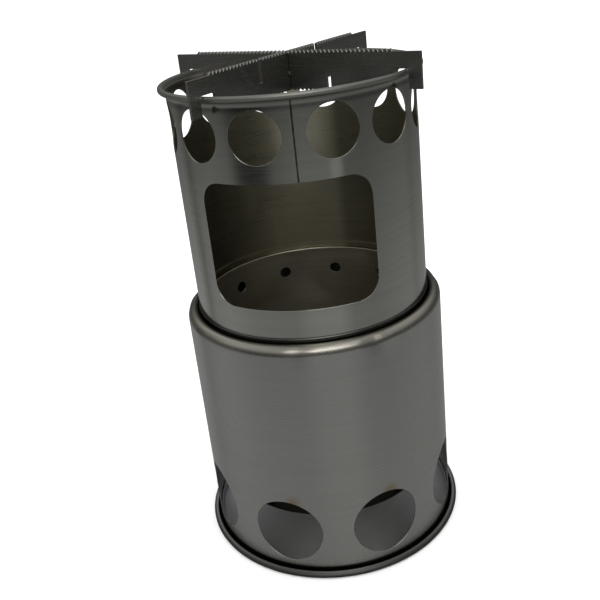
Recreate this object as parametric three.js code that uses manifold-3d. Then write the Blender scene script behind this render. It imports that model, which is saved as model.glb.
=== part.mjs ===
// A portable rocket stove in sheet stainless steel, in millimetres, +Z up.
// The origin is at the middle of the foot, on the surface that the stove stands on.
// Azimuths are measured from -Y, the side of the fuel window, towards +X.
//
// From the ground up: a base shell with a welded floor, a firebox liner that hangs in it
// by a flange, a loose grate in the liner, a windscreen ring that stands on the flange,
// and two toothed pot supports that cross over the ring's rolled rim.

import * as THREE from 'three';
import { mergeVertices } from 'three/addons/utils/BufferGeometryUtils.js';
import Module from 'manifold-3d';

const manifold = await Module();
manifold.setup();

// ---------------------------------------------------------------- driving dimensions
const SHEET = 0.6;              // thickness of every formed sheet
const GAP = 0.3;                // clearance between two pieces that rest on each other
const ROUND_STEPS = 48;         // straight sides of a turned piece
const HOLE_STEPS = 24;          // straight sides of a large punched hole
const JET_STEPS = 12;           // and of a small one
const GRATE_HOLE_STEPS = 8;
const PUNCH_REACH = 8;          // how far a punch reaches on each side of a wall

const FOOT_RADIUS = 67.5;       // outside of the rolled foot
const FOOT_ROLL = 1.5;          // radius of the roll itself
const FOOT_FLAT = 0.4;          // half width of the flat that the roll stands on
const FOOT_BEND = 2;            // radius under the wall, where it turns out into the roll
const FOOT_BEND_HEIGHT = 2.4;
const SHELL_RADIUS = 63.5;      // outside of the base shell
const SHELL_TOP = 125;          // top of the rounded shoulder
const SHOULDER = 4.5;           // radius of the rounded shoulder
const COLLAR_BORE = 58.1;       // bore of the collar that turns down inside the shoulder
const COLLAR_BEND = 0.9;        // radius over which it turns down
const LEDGE_TOP = 118;          // ledge at the collar's foot, which holds the liner
const LEDGE_BORE = 56.2;
const AIR_HOLES = 8;
const AIR_HOLE_RADIUS = 17.1;
const AIR_HOLE_HEIGHT = 24.6;

const FLOOR_UNDERSIDE = 0.9;    // the floor is held just clear of the ground
const FLOOR_RIM_TOP = 6;
const FLOOR_CORNER = 1.5;

const LINER_RADIUS = 55.6;      // outside of the firebox liner
const LINER_BOTTOM = 26.8;
const LINER_CORNER = 5;
const LINER_MOUTH = 46;         // radius of the opening under the grate
const LIP_RADIUS = 0.5;         // rounded lip of the liner
const LIP_HEIGHT = 126;
const JETS = 12;
const JET_RADIUS = 3;
const JET_HEIGHT = 114;

const GRATE_RADIUS = 49.5;
const GRATE_THICKNESS = 1;
const GRATE_HOLE_RADIUS = 3;
const GRATE_PITCH = 11.5;       // distance between the rings of holes
const GRATE_RINGS = 3;

const RING_RADIUS = 57.1;       // outside of the windscreen ring
const HEM_STEP = 0.4;           // how far the hem stands out at the ring's foot
const HEM_TOP = 126.2;
const RIM_RADIUS = 59;          // centre line of the rolled rim
const RIM_HEIGHT = 233.4;
const RIM_ROLL = 1.41;
const FLARE = 4;                // radius of the flare from the wall to the rim
const VENTS = 12;
const VENT_RADIUS = 11.5;
const VENT_HEIGHT = 217.2;
const SEAM_AZIMUTH = -1;        // the weld seam, with a wider land between its two vents
const SEAM_LAND = 33;           // degrees between the vents on each side of the seam
const WINDOW_AZIMUTH = -8.7;
const WINDOW_BOTTOM = 140.3;
const WINDOW_TOP = 197.6;
const WINDOW_WIDTH = 79.5;      // measured round the wall
const WINDOW_CORNER = 10.5;

const SUPPORT_THICKNESS = 1.2;
const SUPPORT_REACH = 67.1;     // half length of each support
const SUPPORT_BOTTOM = 226.7;   // the strip without its teeth
const SUPPORT_TOP = 242.25;
const TOOTH_PITCH = 2.2;
const TOOTH_HEIGHT = 1.15;
const TOOTH_TIP = 0.5;          // width of the flat on each tooth
const TOP_TEETH = 49;
const BOTTOM_TEETH = 45;
const HOOK_INNER = 52.3;        // the slot that drops over the rim runs between these two
const HOOK_OUTER = 60.9;
const SLIT_WIDTH = 1.8;         // half-depth slits where the supports cross
const SLIT_OFFSET = 21.5;
const UPPER_SLIT_TOP = 234.2;
const LOWER_SLIT_BOTTOM = 232.9;
const UPPER_AZIMUTH = 53.9;
const LOWER_AZIMUTH = -37.4;

// ---------------------------------------------------------------- materials
function steel(color, roughness) {
  return new THREE.MeshStandardMaterial({ color, roughness, metalness: 1 });
}

const satinSteel = () => steel(0x6e6e6b, 0.38);
const polishedSteel = () => steel(0x7a7a74, 0.16);
const firedSteel = () => steel(0x5a564c, 0.34);
const supportSteel = () => steel(0x4a4b47, 0.3);

// ---------------------------------------------------------------- profiles and solids
const radians = THREE.MathUtils.degToRad;

// Points of an arc about (r, z), from one angle to another in degrees.
function arc(r, z, radius, from, to, steps) {
  const points = [];
  for (let i = 0; i <= steps; i += 1) {
    const angle = radians(from + ((to - from) * i) / Math.max(1, steps));
    points.push([r + radius * Math.cos(angle), z + radius * Math.sin(angle)]);
  }
  return points;
}

function circle(x, y, radius, steps) {
  return arc(x, y, radius, 0, 360, steps).slice(0, -1).map(([u, v]) => new THREE.Vector2(u, v));
}

// Turns a closed section, listed anticlockwise as [radius, height], about the Z axis.
function turned(section) {
  const points = section.map(([r, z]) => new THREE.Vector2(r, z));
  const touchesAxis = section[0][0] === 0;
  if (!touchesAxis) points.push(points[0].clone());
  return new THREE.LatheGeometry(points, ROUND_STEPS).rotateX(Math.PI / 2);
}

// A closed geometry becomes a solid once the vertices that its faces share are merged.
function solid(geometry) {
  const bare = geometry.clone();
  bare.deleteAttribute('normal');
  bare.deleteAttribute('uv');
  const merged = mergeVertices(bare, 1e-4);
  const triVerts = new Uint32Array(merged.index.array);
  const vertProperties = new Float32Array(merged.attributes.position.array);
  return new manifold.Manifold(new manifold.Mesh({ numProp: 3, vertProperties, triVerts }));
}

function geometryOf(body) {
  const mesh = body.getMesh();
  const geometry = new THREE.BufferGeometry();
  geometry.setAttribute('position', new THREE.BufferAttribute(new Float32Array(mesh.vertProperties), 3));
  geometry.setIndex(new THREE.BufferAttribute(new Uint32Array(mesh.triVerts), 1));
  geometry.computeVertexNormals();
  return geometry;
}

function cut(geometry, tools) {
  return geometryOf(tools.reduce((body, tool) => body.subtract(solid(tool)), solid(geometry)));
}

// A round punch that points outwards at an azimuth, through the wall of a radius.
function punch(radius, azimuth, height, wall, steps = HOLE_STEPS) {
  const tool = new THREE.CylinderGeometry(radius, radius, 2 * PUNCH_REACH, steps);
  tool.translate(0, -wall, 0);
  tool.rotateZ(radians(azimuth));
  tool.translate(0, 0, height);
  return tool;
}

// ---------------------------------------------------------------- base shell
// The section runs up the outside, over the shoulder, down the collar to the ledge, and
// back down the inside to the roll that the stove stands on.
function baseShellSection() {
  const rollCentre = FOOT_RADIUS - FOOT_ROLL;
  const bendCentre = SHELL_RADIUS - SHEET + FOOT_BEND;
  const shoulderCentre = SHELL_RADIUS - SHOULDER;
  const shoulderBase = SHELL_TOP - SHOULDER;
  const collarCentre = COLLAR_BORE + COLLAR_BEND;
  const collarTop = SHELL_TOP - COLLAR_BEND;
  return [
    ...arc(bendCentre, FOOT_BEND_HEIGHT, FOOT_BEND, 180, 248, 2),
    ...arc(rollCentre, FOOT_ROLL, FOOT_ROLL, 220, 220, 0),
    [rollCentre - FOOT_FLAT, 0],
    [rollCentre + FOOT_FLAT, 0],
    ...arc(rollCentre, FOOT_ROLL, FOOT_ROLL, 300, 540, 8),
    ...arc(bendCentre, FOOT_BEND_HEIGHT, FOOT_BEND - SHEET, 240, 180, 2),
    ...arc(shoulderCentre, shoulderBase, SHOULDER, 0, 90, 5),
    ...arc(collarCentre, collarTop, COLLAR_BEND, 90, 180, 2).slice(1),
    [COLLAR_BORE, LEDGE_TOP],
    [LEDGE_BORE, LEDGE_TOP],
    [LEDGE_BORE, LEDGE_TOP - SHEET],
    [COLLAR_BORE + SHEET, LEDGE_TOP - SHEET],
    ...arc(collarCentre, collarTop, COLLAR_BEND - SHEET, 180, 180, 0),
    ...arc(shoulderCentre, shoulderBase, SHOULDER - SHEET, 90, 0, 3),
  ];
}

function baseShell() {
  const holes = [];
  for (let i = 0; i < AIR_HOLES; i += 1) {
    const azimuth = (360 * (i + 0.5)) / AIR_HOLES;
    holes.push(punch(AIR_HOLE_RADIUS, azimuth, AIR_HOLE_HEIGHT, SHELL_RADIUS));
  }
  return cut(turned(baseShellSection()), holes);
}

// A shallow dish, its rim welded inside the foot of the shell below the air holes.
function baseFloor() {
  const outside = SHELL_RADIUS - SHEET - GAP;
  const corner = outside - FLOOR_CORNER;
  const cornerHeight = FLOOR_UNDERSIDE + FLOOR_CORNER;
  return turned([
    [0, FLOOR_UNDERSIDE],
    ...arc(corner, cornerHeight, FLOOR_CORNER, 270, 360, 2),
    [outside, FLOOR_RIM_TOP],
    [outside - SHEET, FLOOR_RIM_TOP],
    ...arc(corner, cornerHeight, FLOOR_CORNER - SHEET, 360, 270, 2),
    [0, FLOOR_UNDERSIDE + SHEET],
  ]);
}

// ---------------------------------------------------------------- firebox
const LINER_FLANGE_BOTTOM = LEDGE_TOP + GAP;
const LINER_FLANGE_TOP = LINER_FLANGE_BOTTOM + SHEET;

function fireboxLiner() {
  const bore = LINER_RADIUS - SHEET;
  const corner = LINER_RADIUS - LINER_CORNER;
  const cornerHeight = LINER_BOTTOM + LINER_CORNER;
  const flange = COLLAR_BORE - GAP;
  const middle = LINER_RADIUS - SHEET / 2;
  const jets = [];
  for (let i = 0; i < JETS; i += 1) {
    jets.push(punch(JET_RADIUS, (360 * (i + 0.5)) / JETS, JET_HEIGHT, LINER_RADIUS, JET_STEPS));
  }
  const section = [
    [LINER_MOUTH, LINER_BOTTOM],
    ...arc(corner, cornerHeight, LINER_CORNER, 270, 360, 3),
    [LINER_RADIUS, LINER_FLANGE_BOTTOM],
    [flange, LINER_FLANGE_BOTTOM],
    [flange, LINER_FLANGE_TOP],
    [LINER_RADIUS, LINER_FLANGE_TOP],
    ...arc(middle, LIP_HEIGHT, LIP_RADIUS, -53, 233, 5),
    ...arc(corner, cornerHeight, LINER_CORNER - SHEET, 360, 270, 3),
    [LINER_MOUTH, LINER_BOTTOM + SHEET],
  ];
  return cut(turned(section), jets);
}

// A perforated disc that lies on the flange at the bottom of the liner.
function fireboxGrate() {
  const disc = new THREE.Shape(circle(0, 0, GRATE_RADIUS, ROUND_STEPS));
  for (let ring = 0; ring <= GRATE_RINGS; ring += 1) {
    const count = Math.max(1, 6 * ring);
    for (let i = 0; i < count; i += 1) {
      const angle = (2 * Math.PI * i) / count;
      const x = ring * GRATE_PITCH * Math.cos(angle);
      const y = ring * GRATE_PITCH * Math.sin(angle);
      disc.holes.push(new THREE.Path(circle(x, y, GRATE_HOLE_RADIUS, GRATE_HOLE_STEPS)));
    }
  }
  const grate = new THREE.ExtrudeGeometry(disc, { depth: GRATE_THICKNESS, bevelEnabled: false });
  return grate.translate(0, 0, LINER_BOTTOM + SHEET + GAP);
}

// ---------------------------------------------------------------- windscreen ring
function windscreenSection() {
  const foot = LINER_FLANGE_TOP + GAP;
  const bore = RING_RADIUS - SHEET;
  const flareCentre = RING_RADIUS + FLARE;
  const flareBase = RIM_HEIGHT - FLARE;
  return [
    [bore + HEM_STEP, foot],
    [RING_RADIUS + HEM_STEP, foot],
    [RING_RADIUS + HEM_STEP, HEM_TOP],
    [RING_RADIUS, HEM_TOP + HEM_STEP],
    ...arc(flareCentre, flareBase, FLARE, 180, 140, 2),
    ...arc(RIM_RADIUS, RIM_HEIGHT, RIM_ROLL, 225, 540, 7),
    ...arc(flareCentre, flareBase, FLARE + SHEET, 138, 180, 2),
    [bore, HEM_TOP + HEM_STEP],
    [bore + HEM_STEP, HEM_TOP],
  ];
}

// The window is punched in the flat strip, so its outline follows the wall when it is
// rolled: a length s round the wall comes to R sin(s / R) across the window.
function windowPunch() {
  const half = WINDOW_WIDTH / 2;
  const outline = [
    ...arc(half - WINDOW_CORNER, WINDOW_TOP - WINDOW_CORNER, WINDOW_CORNER, 0, 90, 6),
    ...arc(WINDOW_CORNER - half, WINDOW_TOP - WINDOW_CORNER, WINDOW_CORNER, 90, 180, 6),
    ...arc(WINDOW_CORNER - half, WINDOW_BOTTOM + WINDOW_CORNER, WINDOW_CORNER, 180, 270, 6),
    ...arc(half - WINDOW_CORNER, WINDOW_BOTTOM + WINDOW_CORNER, WINDOW_CORNER, 270, 360, 6),
  ];
  const across = (s) => RING_RADIUS * Math.sin(s / RING_RADIUS);
  const shape = new THREE.Shape(outline.map(([s, z]) => new THREE.Vector2(across(s), z)));
  const tool = new THREE.ExtrudeGeometry(shape, { depth: RING_RADIUS, bevelEnabled: false });
  tool.rotateX(Math.PI / 2);
  tool.translate(0, -PUNCH_REACH, 0);
  return tool.rotateZ(radians(WINDOW_AZIMUTH));
}

function windscreenRing() {
  const tools = [windowPunch()];
  const pitch = (360 - SEAM_LAND) / (VENTS - 1);
  for (let i = 0; i < VENTS; i += 1) {
    const azimuth = SEAM_AZIMUTH + SEAM_LAND / 2 + i * pitch;
    tools.push(punch(VENT_RADIUS, azimuth, VENT_HEIGHT, RING_RADIUS));
  }
  return cut(turned(windscreenSection()), tools);
}

// ---------------------------------------------------------------- pot supports
// Points of a row of teeth centred on the axis, on the strip's top (side 1) or bottom (-1).
function teeth(count, base, side) {
  const points = [];
  const start = (-count * TOOTH_PITCH) / 2;
  for (let i = 0; i < count; i += 1) {
    points.push([start + i * TOOTH_PITCH, base]);
    const middle = start + (i + 0.5) * TOOTH_PITCH;
    points.push([middle - TOOTH_TIP / 2, base + side * TOOTH_HEIGHT]);
    points.push([middle + TOOTH_TIP / 2, base + side * TOOTH_HEIGHT]);
  }
  points.push([-start, base]);
  return points;
}

// A toothed strip with a downward slot at each end that drops over the rolled rim.
function supportOutline() {
  const slotTop = RIM_HEIGHT + RIM_ROLL + GAP;
  return [
    [-SUPPORT_REACH, SUPPORT_BOTTOM],
    [-HOOK_OUTER, SUPPORT_BOTTOM],
    [-HOOK_OUTER, slotTop],
    [-HOOK_INNER, slotTop],
    [-HOOK_INNER, SUPPORT_BOTTOM],
    ...teeth(BOTTOM_TEETH, SUPPORT_BOTTOM, -1),
    [HOOK_INNER, SUPPORT_BOTTOM],
    [HOOK_INNER, slotTop],
    [HOOK_OUTER, slotTop],
    [HOOK_OUTER, SUPPORT_BOTTOM],
    [SUPPORT_REACH, SUPPORT_BOTTOM],
    [SUPPORT_REACH, SUPPORT_TOP],
    ...teeth(TOP_TEETH, SUPPORT_TOP, 1).reverse(),
    [-SUPPORT_REACH, SUPPORT_TOP],
  ];
}

function potSupport(slitBottom, slitTop) {
  const shape = new THREE.Shape(supportOutline().map(([r, z]) => new THREE.Vector2(r, z)));
  const strip = new THREE.ExtrudeGeometry(shape, { depth: SUPPORT_THICKNESS, bevelEnabled: false });
  strip.rotateX(Math.PI / 2);
  strip.translate(0, SUPPORT_THICKNESS / 2, 0);
  const slits = [-SLIT_OFFSET, 0, SLIT_OFFSET].map((r) => {
    const slit = new THREE.BoxGeometry(SLIT_WIDTH, 2 * PUNCH_REACH, slitTop - slitBottom);
    return slit.translate(r, 0, (slitTop + slitBottom) / 2);
  });
  return cut(strip, slits);
}

// ---------------------------------------------------------------- the stove
const stove = new THREE.Group();

function add(name, geometry, material) {
  const mesh = new THREE.Mesh(geometry, material);
  mesh.name = name;
  stove.add(mesh);
  return mesh;
}

add('base_shell', baseShell(), satinSteel());
add('base_floor', baseFloor(), satinSteel());
add('firebox_liner', fireboxLiner(), firedSteel());
add('firebox_grate', fireboxGrate(), firedSteel());
add('windscreen_ring', windscreenRing(), polishedSteel());

// The lower support's slits open at the top, and the upper one's open at the bottom.
const aboveTeeth = SUPPORT_TOP + 2 * TOOTH_HEIGHT;
const belowTeeth = SUPPORT_BOTTOM - 2 * TOOTH_HEIGHT;
const lower = add('pot_support_lower', potSupport(LOWER_SLIT_BOTTOM, aboveTeeth), supportSteel());
const upper = add('pot_support_upper', potSupport(belowTeeth, UPPER_SLIT_TOP), supportSteel());
lower.rotation.z = radians(LOWER_AZIMUTH - 90);
upper.rotation.z = radians(UPPER_AZIMUTH - 90);

export default stove;
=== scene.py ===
# %% [markdown]
# # A portable rocket stove in sheet stainless steel
#
# The stove is six loose pieces of pressed, rolled and punched sheet: a base shell with a
# floor welded in, a firebox liner that hangs inside it, a grate, a windscreen ring with
# a fuel window, and two toothed strips that cross over the rim to carry the pot.
#
# The engineering model already says where each piece is and how it moves. This lesson
# loads that model as a fixed frame and makes a fine sheet metal piece for each of its
# plain ones, in the same place and at the same size.

# %% Load the frame
import math

import bpy
from mathutils import Matrix, Vector


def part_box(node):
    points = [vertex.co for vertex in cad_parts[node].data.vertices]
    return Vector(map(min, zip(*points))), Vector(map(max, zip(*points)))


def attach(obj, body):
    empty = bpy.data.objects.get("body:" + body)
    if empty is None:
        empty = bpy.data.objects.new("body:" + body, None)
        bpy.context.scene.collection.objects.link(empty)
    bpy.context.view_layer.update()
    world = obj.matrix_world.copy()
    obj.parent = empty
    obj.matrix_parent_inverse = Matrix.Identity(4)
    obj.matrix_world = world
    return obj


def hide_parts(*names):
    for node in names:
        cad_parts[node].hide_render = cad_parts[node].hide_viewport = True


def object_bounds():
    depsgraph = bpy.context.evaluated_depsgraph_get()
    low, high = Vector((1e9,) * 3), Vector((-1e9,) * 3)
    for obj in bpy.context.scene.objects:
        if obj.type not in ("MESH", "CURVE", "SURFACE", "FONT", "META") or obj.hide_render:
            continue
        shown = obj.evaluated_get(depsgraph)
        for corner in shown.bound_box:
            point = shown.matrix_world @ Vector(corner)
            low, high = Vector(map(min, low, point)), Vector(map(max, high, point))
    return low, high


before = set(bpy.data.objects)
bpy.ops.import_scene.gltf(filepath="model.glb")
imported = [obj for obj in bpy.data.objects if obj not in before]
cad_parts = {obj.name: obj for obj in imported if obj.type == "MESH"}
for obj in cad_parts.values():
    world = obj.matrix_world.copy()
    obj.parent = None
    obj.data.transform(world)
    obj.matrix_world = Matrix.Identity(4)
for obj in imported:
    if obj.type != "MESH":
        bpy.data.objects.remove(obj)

cad_box = [list(corner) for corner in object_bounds()]
print("box of the frame", cad_box)

# %% [markdown]
# ## Working by hand, in code
#
# Every operator acts on what is selected, and the frame arrives with its own pieces
# selected. So each step starts by selecting one piece and nothing else. Lengths are
# written in millimetres, as on a drawing, and turned into metres in one place.

# %% Selecting, shaping and measuring
MM = 0.001
MERGE = 0.002 * MM


def only(piece):
    """Leave edit mode, then select this piece alone."""
    if bpy.context.object and bpy.context.object.mode != "OBJECT":
        bpy.ops.object.mode_set(mode="OBJECT")
    bpy.ops.object.select_all(action="DESELECT")
    piece.select_set(True)
    bpy.context.view_layer.objects.active = piece


def edit(piece):
    """Open a piece in edit mode with nothing in it selected."""
    only(piece)
    bpy.ops.object.mode_set(mode="EDIT")
    bpy.ops.mesh.select_all(action="DESELECT")


def apply_place():
    """Move the active piece's place, turn and scale into its mesh."""
    bpy.ops.object.transform_apply(location=True, rotation=True, scale=True)


def select_all():
    """Select all of the mesh in edit mode."""
    bpy.ops.mesh.select_all(action="SELECT")


def weld(threshold=MERGE):
    """Merge the vertices that lie on each other."""
    select_all()
    bpy.ops.mesh.remove_doubles(threshold=threshold)


def close_up():
    """Point the faces outwards, leave edit mode and apply the piece's place."""
    select_all()
    bpy.ops.mesh.normals_make_consistent(inside=False)
    bpy.ops.object.mode_set(mode="OBJECT")
    apply_place()
    return bpy.context.object


def modify(piece, kind, **settings):
    """Add a modifier with these settings and apply it."""
    only(piece)
    bpy.ops.object.modifier_add(type=kind)
    modifier = piece.modifiers[-1]
    for key, value in settings.items():
        setattr(modifier, key, value)
    bpy.ops.object.modifier_apply(modifier=modifier.name)


def report(piece):
    """Print the size of a piece in millimetres and how many faces it has."""
    size = ", ".join(f"{side / MM:.2f}" for side in piece.dimensions)
    print(piece.name, "is", size, "mm with", len(piece.data.polygons), "faces")


bpy.ops.object.select_all(action="DESELECT")
print("selected", len(bpy.context.selected_objects))

# %% [markdown]
# ## Sizes from the frame
#
# The frame knows the box of every piece. The radii and heights that the fine pieces
# share with it are read there, so that a change in the frame carries over. Only the
# sizes that a box can't tell, such as a hole's radius, are written out here.

# %% Driving sizes
SHEET = 0.6
GAP = 0.3
WALL = 63.5  # the shell's outside
RING = 57.1  # the ring's outside
HEM_TOP = 126.2  # where the ring's set-out foot ends
SEAM = -1.0  # the azimuth of the ring's weld


def box_of(node):
    """The outer radius, the bottom and the top of a node, in millimetres."""
    low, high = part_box(node)
    return high[0] / MM, low[2] / MM, high[2] / MM


foot_radius, _, shell_top = box_of("base_shell")
floor_radius, floor_bottom, floor_top = box_of("base_floor")
flange_radius, liner_bottom, liner_top = box_of("firebox_liner")
grate_radius, grate_bottom, grate_top = box_of("firebox_grate")
_, ring_bottom, ring_top = box_of("windscreen_ring")
print("foot", foot_radius, "shell top", shell_top, "ring", ring_bottom, "to", ring_top)

# %% [markdown]
# ## Drawing a section
#
# Turned and rolled sheet is round about one axis, so each piece starts as a section: the
# line that a saw would show on one side. It could be a curve with a bevel, or a stack of
# scaled circles. Here one vertex is extruded from point to point along the section,
# because every bend of the sheet can then be a true arc with a stated radius. A straight
# wall gets a point just inside each end, so that smooth shading bends the light only in
# the bend and leaves the wall flat.

# %% Section tools
def arc(r, z, radius, start, end, steps):
    """Points of an arc about (r, z) from one angle to another, in degrees."""
    angles = [math.radians(start + (end - start) * i / steps) for i in range(steps + 1)]
    return [(r + radius * math.cos(a), z + radius * math.sin(a)) for a in angles]


def draw_line(name, points):
    """Extrude one vertex along points of (radius, height), in the plane of X and Z."""
    bpy.ops.object.select_all(action="DESELECT")
    r, z = points[0]
    bpy.ops.mesh.primitive_plane_add(size=MM, location=(r * MM, 0, z * MM), enter_editmode=True)
    bpy.ops.mesh.merge(type="CENTER")
    for (r0, z0), (r1, z1) in zip(points, points[1:]):
        step = ((r1 - r0) * MM, 0, (z1 - z0) * MM)
        bpy.ops.mesh.extrude_region_move(TRANSFORM_OT_translate={"value": step})
    bpy.ops.object.mode_set(mode="OBJECT")
    piece = bpy.context.object
    piece.name = name
    return piece


def filled(name, outline):
    """Draw a closed outline, fill it with one face and leave it open in edit mode."""
    piece = draw_line(name, outline + outline[:1])
    edit(piece)
    weld()
    select_all()
    bpy.ops.mesh.edge_face_add()
    return piece


TURN_STEPS = 192
LONG = 3.0  # a longer straight stretch gets points in it,
HOLDING = 0.25  # the first and last this far from its ends
WALL_STEP = 7.0  # and the others about this far apart


def held(points):
    """Give each long straight stretch a point close to both ends and some between."""
    result = [points[0]]
    for (r0, z0), (r1, z1) in zip(points, points[1:]):
        length = math.hypot(r1 - r0, z1 - z0)
        if length > LONG:
            inner = max(1, round(length / WALL_STEP))
            end = HOLDING / length
            shares = [end, *(i / inner for i in range(1, inner)), 1 - end]
            result += [(r0 + (r1 - r0) * share, z0 + (z1 - z0) * share) for share in shares]
        result.append((r1, z1))
    return result


def turn(name, section):
    """Draw a closed section, listed anticlockwise, and spin it about the stove's axis."""
    closed = held(section if section[0][0] == 0 else section + section[:1])
    piece = draw_line(name, closed)
    edit(piece)
    weld()
    bpy.ops.mesh.spin(steps=TURN_STEPS, angle=math.tau, center=(0, 0, 0), axis=(0, 0, 1))
    weld()
    return close_up()


print("turned in", TURN_STEPS, "steps of", 360 / TURN_STEPS, "degrees")

# %% [markdown]
# ## Punching and deburring
#
# The holes are punched through the sheet. A Boolean with a cylinder does the same: the
# punch is placed across the wall at its azimuth and height, and all the punches of one
# piece are joined, so one cut makes all the holes. Punched edges are tumbled afterwards,
# so a narrow bevel breaks every sharp edge and catches a thread of light.

# %% Punches
PUNCH_SIDES = 128
CUT_MERGE = 0.02 * MM
CREASE = 28  # edges sharper than this many degrees stay crisp in the shading


def place(azimuth, radius, height):
    """A place on the stove, with azimuths measured from the window's side (-Y) to +X."""
    angle = math.radians(azimuth)
    return (radius * math.sin(angle) * MM, -radius * math.cos(angle) * MM, height * MM)


def punch(radius, azimuth, height, wall, reach=8):
    """A round punch that crosses the wall of this radius and points outwards."""
    bpy.ops.mesh.primitive_cylinder_add(
        vertices=PUNCH_SIDES, radius=radius * MM, depth=2 * reach * MM,
        location=place(azimuth, wall, height), rotation=(math.pi / 2, 0, math.radians(azimuth)))
    return bpy.context.object


def joined(pieces):
    """Join several tools into one mesh."""
    only(pieces[0])
    for piece in pieces:
        piece.select_set(True)
    if len(pieces) > 1:
        bpy.ops.object.join()
    apply_place()
    return bpy.context.object


def cut(piece, tools):
    """Take the tools out of a piece, and clear them away."""
    tool = joined(tools)
    modify(piece, "BOOLEAN", operation="DIFFERENCE", solver="EXACT", object=tool)
    bpy.data.objects.remove(tool, do_unlink=True)
    edit(piece)
    weld(CUT_MERGE)
    bpy.ops.object.mode_set(mode="OBJECT")


def deburr(piece, width, sharper_than=40):
    """Break every edge that is sharper than this angle with a narrow flat."""
    modify(piece, "BEVEL", width=width * MM, segments=1, limit_method="ANGLE",
           angle_limit=math.radians(sharper_than), use_clamp_overlap=False)


def settle(piece, body, nodes, finish):
    """Shade a finished piece, give it its finish and hand it to its body in the frame."""
    only(piece)
    apply_place()
    bpy.ops.object.shade_smooth_by_angle(angle=math.radians(CREASE))
    piece.data.materials.clear()
    piece.data.materials.append(finish)
    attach(piece, body)
    if nodes:
        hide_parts(*nodes)
    report(piece)


print("a punch has", PUNCH_SIDES, "sides")

# %% [markdown]
# ## Finishes: small tools for nodes
#
# All the pieces are stainless steel, and they differ in how they were rubbed, heated and
# handled. So the effects are built once as node groups and each finish mixes them with
# its own values. A few short helpers keep the wiring readable.

# %% Node tools
def node(tree, kind, inputs=None, **settings):
    """Add a node, set its own settings, and link or set its inputs by name or number."""
    made = tree.nodes.new(kind)
    for key, value in settings.items():
        setattr(made, key, value)
    for key, value in (inputs or {}).items():
        if isinstance(value, bpy.types.NodeSocket):
            tree.links.new(value, made.inputs[key])
        else:
            made.inputs[key].default_value = value
    return made


def math_node(tree, operation, *values):
    """A Math node's result."""
    return node(tree, "ShaderNodeMath", dict(enumerate(values)), operation=operation).outputs[0]


def times(tree, first, second):
    """One value times the other."""
    return math_node(tree, "MULTIPLY", first, second)


def plus(tree, first, second):
    """The two values added up."""
    return math_node(tree, "ADD", first, second)


def measure(tree, operation, *vectors):
    """A number from one or two vectors: a length, a distance or a dot product."""
    made = node(tree, "ShaderNodeVectorMath", dict(enumerate(vectors)), operation=operation)
    return made.outputs["Value"]


def spread(tree, value, low, high, to_low, to_high):
    """Map a value from one range to another, with soft ends."""
    made = node(tree, "ShaderNodeMapRange", {
        "Value": value, "From Min": low, "From Max": high, "To Min": to_low, "To Max": to_high,
    }, interpolation_type="SMOOTHSTEP")
    return made.outputs["Result"]


def fade(tree, length, start, end, before, after):
    """Go softly from one value to another between two lengths in millimetres."""
    return spread(tree, length, start * MM, end * MM, before, after)


def grey(value):
    """The same share of red, green and blue."""
    return (value, value, value)


def ramp(tree, factor, stops):
    """A colour ramp through stops of (place, colour)."""
    made = node(tree, "ShaderNodeValToRGB", {"Fac": factor})
    elements = made.color_ramp.elements
    elements[0].position = stops[0][0]
    elements[1].position = stops[-1][0]
    for position, _ in stops[1:-1]:
        elements.new(position)
    for element, (_, colour) in zip(elements, stops):
        element.color = (*colour, 1)
    return made.outputs["Color"]


def blend_colour(tree, factor, first, second, mode="MIX"):
    """Mix two colours."""
    made = node(tree, "ShaderNodeMix", {0: factor, 6: first, 7: second},
                data_type="RGBA", blend_type=mode)
    return made.outputs[2]


NUMBER = "NodeSocketFloat"


def group(name, inputs, outputs):
    """Start a node group, and give back its tree, its inputs and its output node."""
    tree = bpy.data.node_groups.new(name, "ShaderNodeTree")
    for label, value in inputs.items():
        socket = tree.interface.new_socket(label, in_out="INPUT", socket_type=NUMBER)
        socket.default_value = value
    for label in outputs:
        tree.interface.new_socket(label, in_out="OUTPUT", socket_type=NUMBER)
    into = tree.nodes.new("NodeGroupInput")
    out = tree.nodes.new("NodeGroupOutput")
    return tree, into.outputs, out


def use(tree, shared, **inputs):
    """Place a node group in a material, with its own values."""
    return node(tree, "ShaderNodeGroup", inputs, node_tree=shared).outputs


print("half grey", grey(0.5))

# %% [markdown]
# ## Asking the surface where it is
#
# A pattern could be painted along a UV map, but the stove is round, so its own geometry
# tells where everything goes. These helpers ask each point of the surface how high it
# is, how far from the axis, on which side, and whether it faces outwards.

# %% Where on the stove
def own_place(tree):
    """The place of each point of the surface."""
    return node(tree, "ShaderNodeTexCoord").outputs["Object"]


def here(tree):
    """The X, Y and Z of each point of the surface."""
    return node(tree, "ShaderNodeSeparateXYZ", {0: own_place(tree)}).outputs


def from_axis(tree):
    """The level arrow from the stove's axis to each point."""
    xyz = here(tree)
    return node(tree, "ShaderNodeCombineXYZ", {"X": xyz["X"], "Y": xyz["Y"]}).outputs[0]


def radius_of(tree):
    """The distance from the stove's axis."""
    return measure(tree, "LENGTH", from_axis(tree))


def azimuth_share(tree, x, y):
    """The azimuth of a direction as a share from 0 (-180 degrees) to 1 (180 degrees)."""
    turned = math_node(tree, "ARCTAN2", x, times(tree, y, -1.0))
    return math_node(tree, "MULTIPLY_ADD", turned, 1 / math.tau, 0.5)


def outwardness(tree):
    """1 where the surface faces away from the stove's axis, 0 where it faces the axis."""
    away = node(tree, "ShaderNodeVectorMath", {0: from_axis(tree)}, operation="NORMALIZE").outputs[0]
    normal = node(tree, "ShaderNodeNewGeometry").outputs["Normal"]
    return spread(tree, measure(tree, "DOT_PRODUCT", away, normal), -0.3, 0.3, 0.0, 1.0)


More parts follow.
